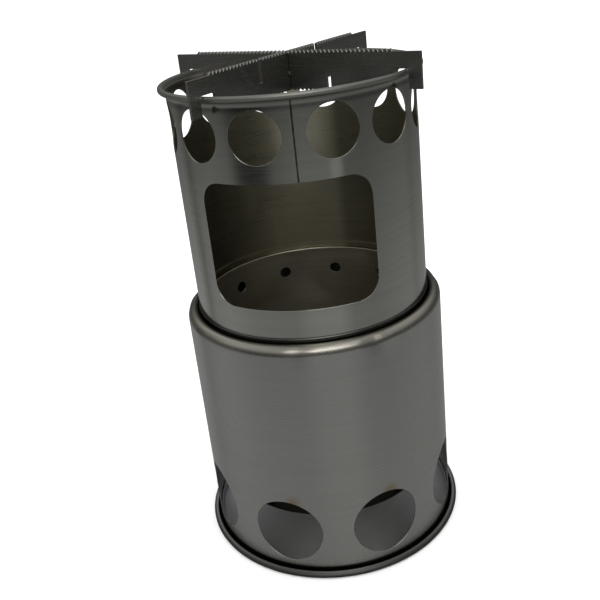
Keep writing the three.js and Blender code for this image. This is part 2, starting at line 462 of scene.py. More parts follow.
def cloud(tree, **values):
    """Cloudy noise over the surface, from 0 to 1."""
    return node(tree, "ShaderNodeTexNoise", {"Vector": own_place(tree), **values}).outputs["Fac"]


print("azimuth 0 is straight down -Y:", place(0, WALL, 0))

# %% [markdown]
# ## Grain that runs round the axis
#
# The sheet is rubbed with fine grit while the piece turns, so the scratches run round
# it. Noise that is stretched along X and Y, and that changes quickly with the height and
# with the distance from the axis, gives long level scratches on a wall and circles on a
# flat disc.

# %% Group: turned grain
def turned_grain():
    """Fine grain, and the broader streaks in it, round the axis."""
    tree, into, out = group("turned grain", {"Across": 2600.0, "Along": 45.0}, ("Grain", "Streaks"))
    xyz = here(tree)
    vector = node(tree, "ShaderNodeCombineXYZ", {
        "X": times(tree, xyz["X"], into["Along"]),
        "Y": times(tree, xyz["Y"], into["Along"]),
        "Z": times(tree, radius_of(tree), into["Across"]),
    }).outputs[0]
    height = times(tree, xyz["Z"], into["Across"])
    for label, scale, detail, roughness in (("Grain", 1.0, 5.0, 0.72), ("Streaks", 0.16, 2.0, 0.5)):
        noise = node(tree, "ShaderNodeTexNoise", {
            "Vector": vector, "W": height, "Scale": scale, "Detail": detail, "Roughness": roughness,
        }, noise_dimensions="4D")
        tree.links.new(noise.outputs["Fac"], out.inputs[label])
    return tree


TURNED_GRAIN = turned_grain()
print("group", TURNED_GRAIN.name)

# %% [markdown]
# ## Grain along a strip, smudges, bright edges, and painted shade with grime
#
# The pot supports were ground lengthwise before they were cut, so their grain runs along
# the strip, whichever way the strip points. Handling leaves cloudy smudges, which change
# the roughness more than the colour. Edges that rub against each other lose the dull
# skin and turn bright: the Bevel node rounds the normal near an edge, and how far that
# differs from the true normal is a mask of the edges. The Ambient Occlusion node finds
# the crevices, which are then painted dark: painted shade where light hardly reaches,
# with grime that gathers there.

# %% Groups: strip grain, smudges, worn edges, and crevice shade with grime
def strip_grain():
    """Grain along a strip that is turned by an angle about the upright axis."""
    tree, into, out = group("strip grain", {"Turn": 0.0, "Across": 900.0, "Along": 26.0}, ("Grain",))
    turned = node(tree, "ShaderNodeVectorRotate", {"Vector": own_place(tree), "Angle": into["Turn"]},
                  rotation_type="Z_AXIS").outputs[0]
    xyz = node(tree, "ShaderNodeSeparateXYZ", {0: turned}).outputs
    vector = node(tree, "ShaderNodeCombineXYZ", {
        "X": times(tree, xyz["X"], into["Along"]),
        "Y": times(tree, xyz["Y"], into["Across"]),
        "Z": times(tree, xyz["Z"], into["Across"]),
    }).outputs[0]
    noise = node(tree, "ShaderNodeTexNoise", {
        "Vector": vector, "Scale": 1.0, "Detail": 4.0, "Roughness": 0.65})
    tree.links.new(noise.outputs["Fac"], out.inputs["Grain"])
    return tree


def smudges():
    """A mask of handled patches, and a wide cloud for the tint."""
    tree, into, out = group("smudges", {"Size": 30.0, "Cover": 0.5}, ("Mask", "Cloud"))
    bent = cloud(tree, Scale=into["Size"], Detail=3.0, Distortion=0.8)
    wide = cloud(tree, Scale=times(tree, into["Size"], 0.35), Detail=1.0)
    low = math_node(tree, "SUBTRACT", 0.72, times(tree, into["Cover"], 0.35))
    tree.links.new(spread(tree, bent, low, plus(tree, low, 0.18), 0.0, 1.0), out.inputs["Mask"])
    tree.links.new(wide, out.inputs["Cloud"])
    return tree


def worn_edges():
    """A broken line along every edge."""
    tree, into, out = group("worn edges", {"Reach": 0.0004, "Breaks": 500.0}, ("Edge",))
    rounded = node(tree, "ShaderNodeBevel", {"Radius": into["Reach"]}, samples=4).outputs[0]
    true = node(tree, "ShaderNodeNewGeometry").outputs["Normal"]
    edge = spread(tree, measure(tree, "DOT_PRODUCT", rounded, true), 0.995, 0.85, 0.0, 1.0)
    breaks = cloud(tree, Scale=into["Breaks"], Detail=2.0)
    worn = times(tree, edge, spread(tree, breaks, 0.3, 0.62, 0.45, 1.0))
    tree.links.new(worn, out.inputs["Edge"])
    return tree


def crevice_shade_and_grime():
    """A mask of the places that other sheet hides, for painted shade with grime."""
    tree, into, out = group("crevice shade and grime", {"Reach": 0.004}, ("Grime",))
    hidden = node(tree, "ShaderNodeAmbientOcclusion", {"Distance": into["Reach"]}, samples=6)
    tree.links.new(spread(tree, hidden.outputs["AO"], 0.72, 0.3, 0.0, 1.0), out.inputs["Grime"])
    return tree


STRIP_GRAIN = strip_grain()
SMUDGES = smudges()
WORN_EDGES = worn_edges()
CREVICE_SHADE_AND_GRIME = crevice_shade_and_grime()
print("groups", STRIP_GRAIN.name, SMUDGES.name, WORN_EDGES.name, CREVICE_SHADE_AND_GRIME.name)

# %% [markdown]
# ## One recipe for every steel
#
# Each finish is a Principled surface that is wholly metal. The grain and the smudges move
# its colour and roughness a little, the worn edges lighten it, and the grain also drives
# a very shallow bump. Fine scratches that run round a wall smear a reflection up and down
# it but keep it narrow sideways, which the anisotropy about the Z axis does. What differs
# from piece to piece is only the values, and an extra layer where one has it, so one
# function builds them all.

# %% The steel recipe
BRUSHED = 0.5
QUARTER_TURN = 0.25
GLANCING_TINT = (0.72, 0.72, 0.72, 1)
BRIGHT_EDGE = (0.62, 0.61, 0.57, 1)
# Near-black for the weld seam and grime, and for painted shade.
WELD_GRIME_AND_SHADE = (0.012, 0.011, 0.009, 1)
STREAK_SHARE = 0.6
SMOOTHER = 0.04
ROUGHER = 0.05
SMUDGE_DULLS = 0.07
WAVE_SCALE = 26.0


def steel(name, colour, warm, roughness, grain_depth, streak=0.1, cover=0.5,
          edge=0.35, turn_by=None, waves=0.0, grime=0.0, layer=None):
    """A stainless finish. colour and warm are the two tints that it wavers between."""
    material = bpy.data.materials.new(name)
    material.use_nodes = True
    tree = material.node_tree
    principled = tree.nodes["Principled BSDF"]
    principled.inputs["Metallic"].default_value = 1.0
    principled.inputs["Specular Tint"].default_value = GLANCING_TINT
    if turn_by is None:
        grains = use(tree, TURNED_GRAIN, Across=2600.0, Along=45.0)
        grain, streaks = grains["Grain"], grains["Streaks"]
        principled.inputs["Anisotropic"].default_value = BRUSHED
        principled.inputs["Anisotropic Rotation"].default_value = QUARTER_TURN
        round_axis = node(tree, "ShaderNodeTangent", direction_type="RADIAL", axis="Z")
        tree.links.new(round_axis.outputs[0], principled.inputs["Tangent"])
    else:
        grain = use(tree, STRIP_GRAIN, Turn=turn_by, Across=3000.0, Along=60.0)["Grain"]
        streaks = use(tree, STRIP_GRAIN, Turn=turn_by, Across=420.0, Along=12.0)["Grain"]
    marks = use(tree, SMUDGES, Size=30.0, Cover=cover)
    worn = use(tree, WORN_EDGES, Reach=0.0004, Breaks=500.0)["Edge"]
    tint = blend_colour(tree, marks["Cloud"], (*colour, 1), (*warm, 1))
    lines = spread(tree, grain, 0.25, 0.75, 1.0 - streak, 1.0 + streak)
    slow = STREAK_SHARE * streak
    bands = spread(tree, streaks, 0.3, 0.7, 1.0 - slow, 1.0 + slow)
    shaded = node(tree, "ShaderNodeVectorMath", {0: tint, "Scale": times(tree, lines, bands)},
                  operation="SCALE").outputs[0]
    lit = blend_colour(tree, times(tree, worn, edge), shaded, BRIGHT_EDGE)
    scratched = spread(tree, grain, 0.2, 0.8, roughness - SMOOTHER, roughness + ROUGHER)
    rough = plus(tree, scratched, times(tree, marks["Mask"], SMUDGE_DULLS))
    # Painted shade with grime: the crevices that ambient occlusion finds are darkened.
    if grime:
        painted_shade = times(tree, use(tree, CREVICE_SHADE_AND_GRIME, Reach=0.003)["Grime"], grime)
        lit = blend_colour(tree, painted_shade, lit, WELD_GRIME_AND_SHADE)
    if layer:
        lit, rough = layer(tree, lit, rough)
    tree.links.new(lit, principled.inputs["Base Color"])
    tree.links.new(rough, principled.inputs["Roughness"])
    height = grain
    if waves:
        swell = cloud(tree, Scale=WAVE_SCALE, Detail=1.0)
        height = plus(tree, grain, times(tree, swell, waves))
    bump = node(tree, "ShaderNodeBump", {
        "Height": height, "Strength": 1.0, "Distance": grain_depth * MM})
    tree.links.new(bump.outputs["Normal"], principled.inputs["Normal"])
    return material


print("roughness wavers by", SMOOTHER, "down and", ROUGHER, "up")

# %% [markdown]
# ## Heat stains and painted shade: the base shell
#
# Steel that has been hot turns straw, then brown. On the shell that shows as a small
# stain over two of the air holes. Above the rolled foot the colour is darkened as painted
# shade with grime, and the groove round the ring and the roll's outer, lower side are
# darkened as painted shade. It could be painted by hand, but masks from the height and
# the radius stay with the shape.

# %% Layer of the shell
STRAW = (0.34, 0.25, 0.12, 1)
WARM_BEND = (1.06, 1.02, 0.93, 1)
STAINED = 0.65
STAINS = ((-18.5, 41.4, 7.0), (25.0, 41.6, 7.0))  # azimuth, height and size of each


def stain_at(tree, azimuth, radius, height, size):
    """A soft round mask about one place on the wall, with a ragged border."""
    distance = measure(tree, "DISTANCE", own_place(tree), place(azimuth, radius, height))
    rag = times(tree, cloud(tree, Scale=260.0, Detail=3.0), 0.5 * size * MM)
    return fade(tree, plus(tree, distance, rag), size, 0.35 * size, 0.0, 1.0)


def shell_layer(tree, colour, rough):
    """Straw stains over two air holes; painted shade with grime above the foot, and painted shade in the
    groove and on the roll.
    """
    for azimuth, height, size in STAINS:
        mask = stain_at(tree, azimuth, WALL, height, size)
        colour = blend_colour(tree, times(tree, mask, STAINED), colour, STRAW)
    radius = radius_of(tree)
    height = here(tree)["Z"]
    roll = fade(tree, radius, WALL + 1.3, WALL + 1.9, 0.0, 1.0)
    # Painted shade with grime above the foot, and painted shade in the groove by the collar.
    low = fade(tree, height, 5.2, 3.4, 0.0, 0.9)
    painted_shade = times(tree, low, math_node(tree, "SUBTRACT", 1.0, roll))
    groove = fade(tree, radius, WALL - 2.3, WALL - 4.6, 0.0, 0.93)
    colour = blend_colour(tree, math_node(tree, "MAXIMUM", painted_shade, groove), colour, WELD_GRIME_AND_SHADE)
    # Painted shade on the roll's outer, lower side, which faces the shaded table.
    roll_underside_shade = fade(tree, radius, WALL + 2.2, WALL + 3.3, 0.08, 0.72)
    colour = blend_colour(tree, times(tree, roll, roll_underside_shade), colour, WELD_GRIME_AND_SHADE)
    bend = fade(tree, height, shell_top - 4.5, shell_top - 2.5, 0.0, 1.0)
    colour = blend_colour(tree, bend, colour, WARM_BEND, mode="MULTIPLY")
    return colour, math_node(tree, "MULTIPLY_ADD", roll, 0.2, rough)


print("stains over", len(STAINS), "air holes")

# %% [markdown]
# ## Painted shade and light: the liner and the ring
#
# The liner's outside is darkened with brown painted shade, for a side that only the floor
# lights, and is darkest at its foot. The ring is bright outside, with a dark weld seam
# above the window, a duller rim and painted shade below the rim. Inside it is brightened
# and warmed as painted light, in upright bands of painted reflection and shade, so a
# colour ramp round the axis gives how bright each side is.

# %% Layers of the liner and the ring
# Brown painted shade for the liner's outside.
BROWN_SHADE = (0.16, 0.125, 0.09, 1)
# A warm tint that brightens the ring's inside: painted light.
INSIDE_LIGHT_TINT = (2.1, 2.0, 1.7, 1)
RUBBED = (1.9, 1.8, 1.6, 1)
DULL_RIM = (0.32, 0.315, 0.29, 1)
# Painted reflections and shade in upright bands round the inside.
LIGHT_AND_SHADE_BANDS = (  # azimuth, and how much light is left there
    (-180, 1.25), (-163, 1.25), (-155, 0.9), (-140, 0.62), (-125, 0.36), (-105, 0.28),
    (-60, 0.45), (0, 0.5), (60, 0.45), (100, 0.45), (125, 0.6), (150, 0.7), (156, 0.75),
    (161, 1.25), (180, 1.25),
)
BAND_SCALE = 1.5
RUBBED_LINE = 3.2


def liner_layer(tree, colour, rough):
    """Painted shade on the liner's outside: a brown tone, darkest at its foot."""
    outside = outwardness(tree)
    rag = cloud(tree, Scale=45.0, Detail=3.0)
    ragged = math_node(tree, "MULTIPLY_ADD", rag, 24 * MM, here(tree)["Z"])
    # Painted shade: the outside is darkened high up and darkest at the foot.
    brown = times(tree, outside, fade(tree, ragged, 104, 80, 0.0, 0.75))
    foot_shade = times(tree, outside, fade(tree, ragged, 76, 60, 0.0, 0.97))
    colour = blend_colour(tree, brown, colour, BROWN_SHADE)
    return blend_colour(tree, foot_shade, colour, WELD_GRIME_AND_SHADE), rough


def seam_mask(tree):
    """A ragged upright line at the ring's weld seam, above the window."""
    xyz = here(tree)
    across = math_node(tree, "SUBTRACT", xyz["X"], place(SEAM, RING, 0)[0])
    rag = times(tree, cloud(tree, Scale=420.0, Detail=2.0), 0.5 * MM)
    ragged = plus(tree, math_node(tree, "ABSOLUTE", across), rag)
    line = fade(tree, ragged, 0.8, 0.35, 0.0, 1.0)
    front = math_node(tree, "LESS_THAN", xyz["Y"], 0.0)
    above = fade(tree, xyz["Z"], 180, 182, 0.0, 1.0)
    below = fade(tree, xyz["Z"], ring_top - 3.0, ring_top - 3.6, 0.0, 1.0)
    return times(tree, line, times(tree, front, times(tree, above, below)))


def off_level(tree, level):
    """How far each point is above or below a level in millimetres."""
    return math_node(tree, "ABSOLUTE", math_node(tree, "SUBTRACT", here(tree)["Z"], level * MM))


def ring_layer(tree, colour, rough):
    """Outside bright with a dark weld seam, a duller rim and painted shade; inside dull, with painted
    light and shade in bands.
    """
    outside = outwardness(tree)
    xyz = here(tree)
    height = xyz["Z"]
    colour = blend_colour(tree, times(tree, seam_mask(tree), 0.85), colour, WELD_GRIME_AND_SHADE)
    # Painted light inside: brightened, warmed and banded by azimuth.
    bands = ramp(tree, azimuth_share(tree, xyz["X"], xyz["Y"]),
                 [(0.5 + a / 360, grey(v / BAND_SCALE)) for a, v in LIGHT_AND_SHADE_BANDS])
    painted_inside_light = blend_colour(tree, 1.0, INSIDE_LIGHT_TINT, bands, mode="MULTIPLY")
    line = fade(tree, off_level(tree, liner_top + RUBBED_LINE), 1.2, 0.2, 0.0, 0.6)
    painted_inside_light = blend_colour(tree, line, painted_inside_light, RUBBED)
    inner = blend_colour(tree, outside, painted_inside_light, (1, 1, 1, 1))
    colour = blend_colour(tree, 1.0, colour, inner, mode="MULTIPLY")
    rim = fade(tree, height, ring_top - 3.3, ring_top - 2.6, 0.0, 1.0)
    colour = blend_colour(tree, times(tree, rim, 0.9), colour, DULL_RIM)
    # Painted shadow below the rolled rim, and a painted dark line at the hem's step that dims its
    # highlight.
    lower_half = fade(tree, height, ring_top - 1.3, ring_top - 2.6, 0.0, 1.0)
    faint = fade(tree, height, ring_top - 7.8, ring_top - 6.0, 0.0, 0.42)
    close = fade(tree, height, ring_top - 4.4, ring_top - 3.4, 0.0, 0.62)
    under = times(tree, lower_half, math_node(tree, "MAXIMUM", faint, close))
    step = fade(tree, off_level(tree, HEM_TOP + 0.3), 0.9, 0.4, 0.0, 0.7)
    painted_shade = times(tree, math_node(tree, "MAXIMUM", under, step), outside)
    colour = blend_colour(tree, painted_shade, colour, WELD_GRIME_AND_SHADE)
    duller = plus(tree, spread(tree, outside, 0.0, 1.0, 0.16, 0.0), times(tree, rim, 0.3))
    return colour, plus(tree, rough, duller)


# The bands are painted light and shade.
print("light and shade bands", len(LIGHT_AND_SHADE_BANDS), "rubbed line at", liner_top + RUBBED_LINE, "mm")

# %% [markdown]
# ## The finishes
#
# The shell is satin and the ring nearly a mirror. The liner has turned straw inside, the
# grate is dull, and the supports are a darker sheet, each with the grain its own way.

# %% The finishes
# The shell's crevices get painted shade with grime, and its layer paints more shade.
SATIN = steel("satin_steel", (0.43, 0.432, 0.413), (0.45, 0.447, 0.418), 0.25, 0.0013,
              streak=0.03, cover=0.35, grime=0.97, layer=shell_layer)
FLOOR_STEEL = steel("floor_steel", (0.64, 0.65, 0.67), (0.68, 0.68, 0.69), 0.5, 0.002, streak=0.03)
FIRED = steel("firebox_steel", (0.55, 0.52, 0.44), (0.5, 0.465, 0.38), 0.34, 0.004, streak=0.08,
              cover=0.7, layer=liner_layer)
GRATE_STEEL = steel("grate_steel", (0.34, 0.33, 0.30), (0.30, 0.28, 0.24), 0.4, 0.004, streak=0.1,
                    cover=0.8)
POLISHED = steel("polished_steel", (0.465, 0.475, 0.435), (0.45, 0.45, 0.4), 0.13, 0.001,
                 streak=0.05, cover=0.3, edge=0.12, waves=12.0, layer=ring_layer)


def support_steel(name, azimuth):
    """The supports' finish, with its grain along a strip at this azimuth."""
    return steel(name, (0.30, 0.30, 0.285), (0.32, 0.315, 0.29), 0.24, 0.0006, streak=0.025,
                 edge=0.5, turn_by=math.radians(90 - azimuth))


print("finishes", [finish.name for finish in (SATIN, FLOOR_STEEL, FIRED, GRATE_STEEL, POLISHED)])

# %% [markdown]
# ## The base shell
#
# The outer body is one sheet: its foot is rolled outwards over a wire's thickness, the
# wall stands straight, and the top is drawn over a round shoulder into a collar with a
# ledge that the liner hangs on. Its section is listed once round: up the outside, over
# the shoulder, down the collar, and back down the inside to the roll. The shoulder was
# drawn over by hand, so a few points of it are pushed in or out with a soft falloff.

# %% Base shell: sizes
ROLL = 1.5
SHOULDER = 4.5
COLLAR_BORE = 58.1
COLLAR_BEND = 0.9
LEDGE_TOP = 118.0
LEDGE_BORE = 56.2
AIR_HOLES = 8
AIR_HOLE = 17.1
AIR_HOLE_HEIGHT = 24.6
FOOT_BEND = 2.0
FOOT_BEND_HEIGHT = 2.4
# Each dent of the shoulder: its azimuth, how far out it goes, and how far it reaches.
DENTS = (
    (-9, -0.4, 6), (-1, 0.3, 6), (22, -0.7, 5.5), (30, 0.4, 6), (-52, -0.2, 9),
    (95, -0.3, 8), (140, 0.2, 8), (205, -0.3, 8), (262, 0.3, 8),
)

# %% Base shell: section, turning and air holes
def shell_section():
    """The shell's section: the roll, the wall, the shoulder, the collar and its ledge."""
    roll_r = foot_radius - ROLL
    inside = WALL - SHEET
    bend_r = inside + FOOT_BEND
    shoulder_r = WALL - SHOULDER
    shoulder_z = shell_top - SHOULDER
    collar_r = COLLAR_BORE + COLLAR_BEND
    collar_z = shell_top - COLLAR_BEND
    ledge_r = COLLAR_BORE - GAP
    return [
        *arc(bend_r, FOOT_BEND_HEIGHT, FOOT_BEND, 180, 246, 8),
        *arc(roll_r, ROLL, ROLL, 232, 520, 40),
        *arc(bend_r, FOOT_BEND_HEIGHT, FOOT_BEND - SHEET, 262, 180, 8),
        *arc(shoulder_r, shoulder_z, SHOULDER, 0, 88, 22),
        *arc(collar_r, collar_z, COLLAR_BEND, 92, 180, 8),
        (COLLAR_BORE, LEDGE_TOP + GAP),
        *arc(ledge_r, LEDGE_TOP + GAP, GAP, 0, -90, 3)[1:],
        (LEDGE_BORE, LEDGE_TOP),
        (LEDGE_BORE, LEDGE_TOP - SHEET),
        *arc(ledge_r, LEDGE_TOP + GAP, GAP + SHEET, -90, 0, 6),
        *arc(collar_r, collar_z, COLLAR_BEND - SHEET, 180, 92, 4),
        *arc(shoulder_r, shoulder_z, SHOULDER - SHEET, 88, 0, 18),
    ]


def dent(piece, azimuth, radius, height, push, reach):
    """Move the nearest point of a sheet outwards by push, and its surroundings with it."""
    spot = Vector(place(azimuth, radius, height))
    index = min(piece.data.vertices, key=lambda vertex: (vertex.co - spot).length).index
    edit(piece)
    bpy.ops.object.mode_set(mode="OBJECT")
    piece.data.vertices[index].select = True
    bpy.ops.object.mode_set(mode="EDIT")
    out = Vector(place(azimuth, 1, 0)).normalized() * push * MM
    bpy.ops.transform.translate(
        value=out, use_proportional_edit=True, proportional_edit_falloff="SMOOTH",
        proportional_size=reach * MM)
    bpy.ops.object.mode_set(mode="OBJECT")


base_shell = turn("base_shell_sheet", shell_section())
for azimuth, push, reach in DENTS:
    dent(base_shell, azimuth, WALL - 1.0, shell_top - 2.0, push, reach)
cut(base_shell, [
    punch(AIR_HOLE, 360 * (i + 0.5) / AIR_HOLES, AIR_HOLE_HEIGHT, WALL) for i in range(AIR_HOLES)
])
deburr(base_shell, 0.1)
settle(base_shell, "base", ["base_shell"], SATIN)

# %% [markdown]
# ## The floor
#
# The floor closes the foot and catches the ash. It is a shallow dish, pressed in one
# stroke, so its corner is round.

# %% Floor
FLOOR_CORNER = 1.5


def floor_section():
    """The floor's section, from the axis out and back."""
    corner_r = floor_radius - FLOOR_CORNER
    corner_z = floor_bottom + FLOOR_CORNER
    return [
        (0, floor_bottom),
        *arc(corner_r, corner_z, FLOOR_CORNER, 270, 360, 10),
        (floor_radius, floor_top),
        (floor_radius - SHEET, floor_top),
        *arc(corner_r, corner_z, FLOOR_CORNER - SHEET, 360, 270, 8),
        (0, floor_bottom + SHEET),
    ]


base_floor = turn("base_floor_dish", floor_section())
settle(base_floor, "base", ["base_floor"], FLOOR_STEEL)

# %% [markdown]
# ## The firebox liner
#
# The liner is the chamber that the wood burns in. It is a deep cup with an open bottom, a
# narrow inward ledge there for the grate, a flange near the top that rests on the shell,
# and a row of small jets under its rounded lip, where hot air comes back into the fire.

# %% Liner
LINER = 55.6
LINER_MOUTH = 46.0
LINER_CORNER = 5.0
LIP = 0.5
FILLET = 0.5
JETS = 12
JET = 3.0
JET_HEIGHT = 114.0


def liner_section():
    """The liner's section, from the mouth out and up, over the lip and down inside."""
    corner_r = LINER - LINER_CORNER
    corner_z = liner_bottom + LINER_CORNER
    flange_z = LEDGE_TOP + GAP
    middle = LINER - SHEET / 2
    lip_z = liner_top - LIP
    return [
        (LINER_MOUTH, liner_bottom),
        *arc(corner_r, corner_z, LINER_CORNER, 270, 360, 16),
        (LINER, flange_z),
        (flange_radius, flange_z),
        (flange_radius, flange_z + SHEET),
        *arc(LINER + FILLET, flange_z + SHEET + FILLET, FILLET, 270, 180, 5),
        *arc(middle, lip_z, LIP, -53, 233, 22),
        *arc(corner_r, corner_z, LINER_CORNER - SHEET, 360, 270, 14),
        (LINER_MOUTH, liner_bottom + SHEET),
    ]


liner = turn("firebox_liner_cup", liner_section())
cut(liner, [punch(JET, 360 * (i + 0.5) / JETS, JET_HEIGHT, LINER, reach=5) for i in range(JETS)])
deburr(liner, 0.08)
settle(liner, "firebox", ["firebox_liner"], FIRED)

# %% [markdown]
# ## The grate
#
# A loose disc of thicker plate lies on the liner's ledge. It starts as a filled circle,
# is extruded to its thickness, and has rings of holes punched through it.

# %% Grate
GRATE_HOLE = 3.0
GRATE_PITCH = 11.5
GRATE_RINGS = 3
GRATE_PUNCH_SIDES = 32


def grate_disc():
    """The grate before it is punched."""
    bpy.ops.object.select_all(action="DESELECT")
    bpy.ops.mesh.primitive_circle_add(
        vertices=TURN_STEPS, radius=grate_radius * MM, fill_type="NGON",
        location=(0, 0, grate_bottom * MM), enter_editmode=True)
    select_all()
    rise = (grate_top - grate_bottom) * MM
    bpy.ops.mesh.extrude_region_move(TRANSFORM_OT_translate={"value": (0, 0, rise)})
    disc = close_up()
    disc.name = "firebox_grate_plate"
    return disc


def grate_punches():
    """One punch in the middle, then rings of 6, 12 and 18 round it."""
    tools = []
    for ring_number in range(GRATE_RINGS + 1):
        count = max(1, 6 * ring_number)
        out = ring_number * GRATE_PITCH
        for i in range(count):
            angle = math.tau * i / count
            spot = (out * math.cos(angle) * MM, out * math.sin(angle) * MM, grate_bottom * MM)
            bpy.ops.mesh.primitive_cylinder_add(
                vertices=GRATE_PUNCH_SIDES, radius=GRATE_HOLE * MM, depth=6 * MM, location=spot)
            tools.append(bpy.context.object)
    return tools


grate = grate_disc()
cut(grate, grate_punches())
deburr(grate, 0.12)
settle(grate, "grate", ["firebox_grate"], GRATE_STEEL)

# %% [markdown]
# ## The windscreen ring
#
# The ring is a flat strip, punched while flat, rolled up and welded, then flared at the
# top and curled into a round rim. Its foot is set out a little, to sit over the liner's
# lip. The window was punched in the flat strip, so its width is measured round the wall.

# %% Ring: sizes
HEM = 0.4
HEM_BEND = 0.4
RIM_R = 59.0
RIM_ROLL = 1.41
FLARE = 4.0
VENTS = 12
VENT = 11.5
VENT_HEIGHT = 217.2
SEAM_LAND = 33.0
WINDOW = -8.7
WINDOW_LOW = 140.3
WINDOW_HIGH = 197.6
WINDOW_WIDTH = 79.5
WINDOW_CORNER = 10.5

# %% Ring: section
def ring_section():
    """The ring's section: the hem, the wall, the flare and the rolled rim."""
    bore = RING - SHEET
    step_z = HEM_TOP + HEM + 0.25
    flare_r = RING + FLARE
    rim_z = ring_top - RIM_ROLL
    flare_z = rim_z - FLARE
    return [
        (bore + HEM, ring_bottom),
        (RING + HEM, ring_bottom),
        *arc(RING + HEM - HEM_BEND, HEM_TOP, HEM_BEND, 0, 45, 3),
        *arc(RING + HEM_BEND, step_z, HEM_BEND, 215, 180, 3),
        *arc(flare_r, flare_z, FLARE, 180, 142, 12),
        *arc(RIM_R, rim_z, RIM_ROLL, 222, 538, 44),
        *arc(flare_r, flare_z, FLARE + SHEET, 139, 180, 12),
        *arc(bore + HEM_BEND, step_z, HEM_BEND, 180, 215, 3),
        *arc(bore + HEM - HEM_BEND, HEM_TOP, HEM_BEND, 45, 0, 3),
    ]


# %% Ring: window and vents
def window_punch():
    """The window's outline, filled and pushed through the near wall."""
    half = WINDOW_WIDTH / 2 - WINDOW_CORNER
    low = WINDOW_LOW + WINDOW_CORNER
    high = WINDOW_HIGH - WINDOW_CORNER
    corners = ((half, high, 0), (-half, high, 90), (-half, low, 180), (half, low, 270))
    outline = []
    for s, z, start in corners:
        outline += arc(s, z, WINDOW_CORNER, start, start + 90, 16)
    rolled = [(RING * math.sin(s / RING), z) for s, z in outline]
    tool = filled("window punch", rolled)
    bpy.ops.mesh.extrude_region_move(TRANSFORM_OT_translate={"value": (0, -70 * MM, 0)})
    select_all()
    bpy.ops.transform.translate(value=(0, -10 * MM, 0))
    close_up()
    tool.rotation_euler.z = math.radians(WINDOW)
    return tool


def vent_punches():
    """The vents' punches, evenly spaced from one side of the seam round to the other."""
    pitch = (360 - SEAM_LAND) / (VENTS - 1)
    start = SEAM + SEAM_LAND / 2
    return [punch(VENT, start + i * pitch, VENT_HEIGHT, RING) for i in range(VENTS)]


ring = turn("windscreen_ring_wall", ring_section())
cut(ring, [window_punch(), *vent_punches()])
deburr(ring, 0.1)
settle(ring, "windscreen", ["windscreen_ring"], POLISHED)

# %% [markdown]
# The weld that closes the strip into a ring stands a hair proud of the wall above the
# window, and is dressed flush below it, where the ring slips into the shell. The bead
# starts as a round bar on the seam and is flattened against the wall.

# %% Ring: weld bead
BEAD_WIDTH = 0.8
BEAD_DEPTH = 0.24


def weld_bead(name, low, high):
    """A closed bead of weld on the seam between two heights."""
    bpy.ops.object.select_all(action="DESELECT")
    bpy.ops.mesh.primitive_cylinder_add(
        vertices=24, radius=BEAD_WIDTH / 2 * MM, depth=(high - low) * MM,
        location=place(SEAM, RING, (low + high) / 2))
    bead = bpy.context.object
    bead.name = name
    edit(bead)
    select_all()
    bpy.ops.transform.resize(value=(1, BEAD_DEPTH / BEAD_WIDTH, 1))
    bpy.ops.object.mode_set(mode="OBJECT")
    bead.rotation_euler.z = math.radians(SEAM)
    return bead


bead = weld_bead("windscreen_weld_bead", WINDOW_HIGH + 0.3, ring_top - 2 * RIM_ROLL - FLARE)
settle(bead, "windscreen", [], POLISHED)

# %% [markdown]
# ## The pot supports
#
# Two strips of thicker sheet stand on edge across the ring. Each has a row of teeth on
# both long edges, a slot at each end that drops over the rolled rim, and three slits to
# half its depth. The lower strip's slits open upwards and the upper one's downwards, so
# the two lock into a cross. The outline is drawn as a line, filled, and thickened.

# %% Supports: sizes
THICK = 1.2
REACH = 67.1
STRIP_LOW = 226.7
STRIP_HIGH = 242.25
TOOTH_PITCH = 2.2
TOOTH = 1.15
TOOTH_TIP = 0.5
TOP_TEETH = 49
LOW_TEETH = 45
HOOK_IN = 52.3
HOOK_OUT = 60.9
HOOK_CORNER = 0.6
SLIT = 1.8
SLITS = (-21.5, 0, 21.5)  # their middles along the strip
TOUCHING = 1e-6
UPPER_SLIT_TOP = 234.2
LOWER_SLIT_LOW = 232.9

# %% Supports: outline
def teeth(count, base, side):
    """A row of teeth from left to right; side is 1 on the top edge and -1 below."""
    start = -count * TOOTH_PITCH / 2
    points = []
    for i in range(count):
        left = start + i * TOOTH_PITCH
        middle = left + TOOTH_PITCH / 2
        points.append((left, base))
        points.append((middle - TOOTH_TIP / 2, base + side * TOOTH))
        points.append((middle + TOOTH_TIP / 2, base + side * TOOTH))
    return points + [(-start, base)]


def with_slits(row, level):
    """Let the slits into a row of teeth, down or up to this level."""
    half = SLIT / 2
    edges = [middle + side * half for middle in SLITS for side in (-1, 1)]
    points = []
    for (x0, z0), (x1, z1) in zip(row, row[1:]):
        points.append((x0, z0))
        for edge in edges:
            if x0 < edge <= x1:
                points.append((edge, z0 + (z1 - z0) * (edge - x0) / (x1 - x0)))
    points.append(row[-1])
    result = []
    for x, z in points:
        middle = min(SLITS, key=lambda slit: abs(x - slit))
        outside = abs(x - middle) - half
        if outside > TOUCHING:
            result.append((x, z))
        elif outside > -TOUCHING:
            wall = [(x, z), (x, level)]
            result += wall if x < middle else wall[::-1]
    return result


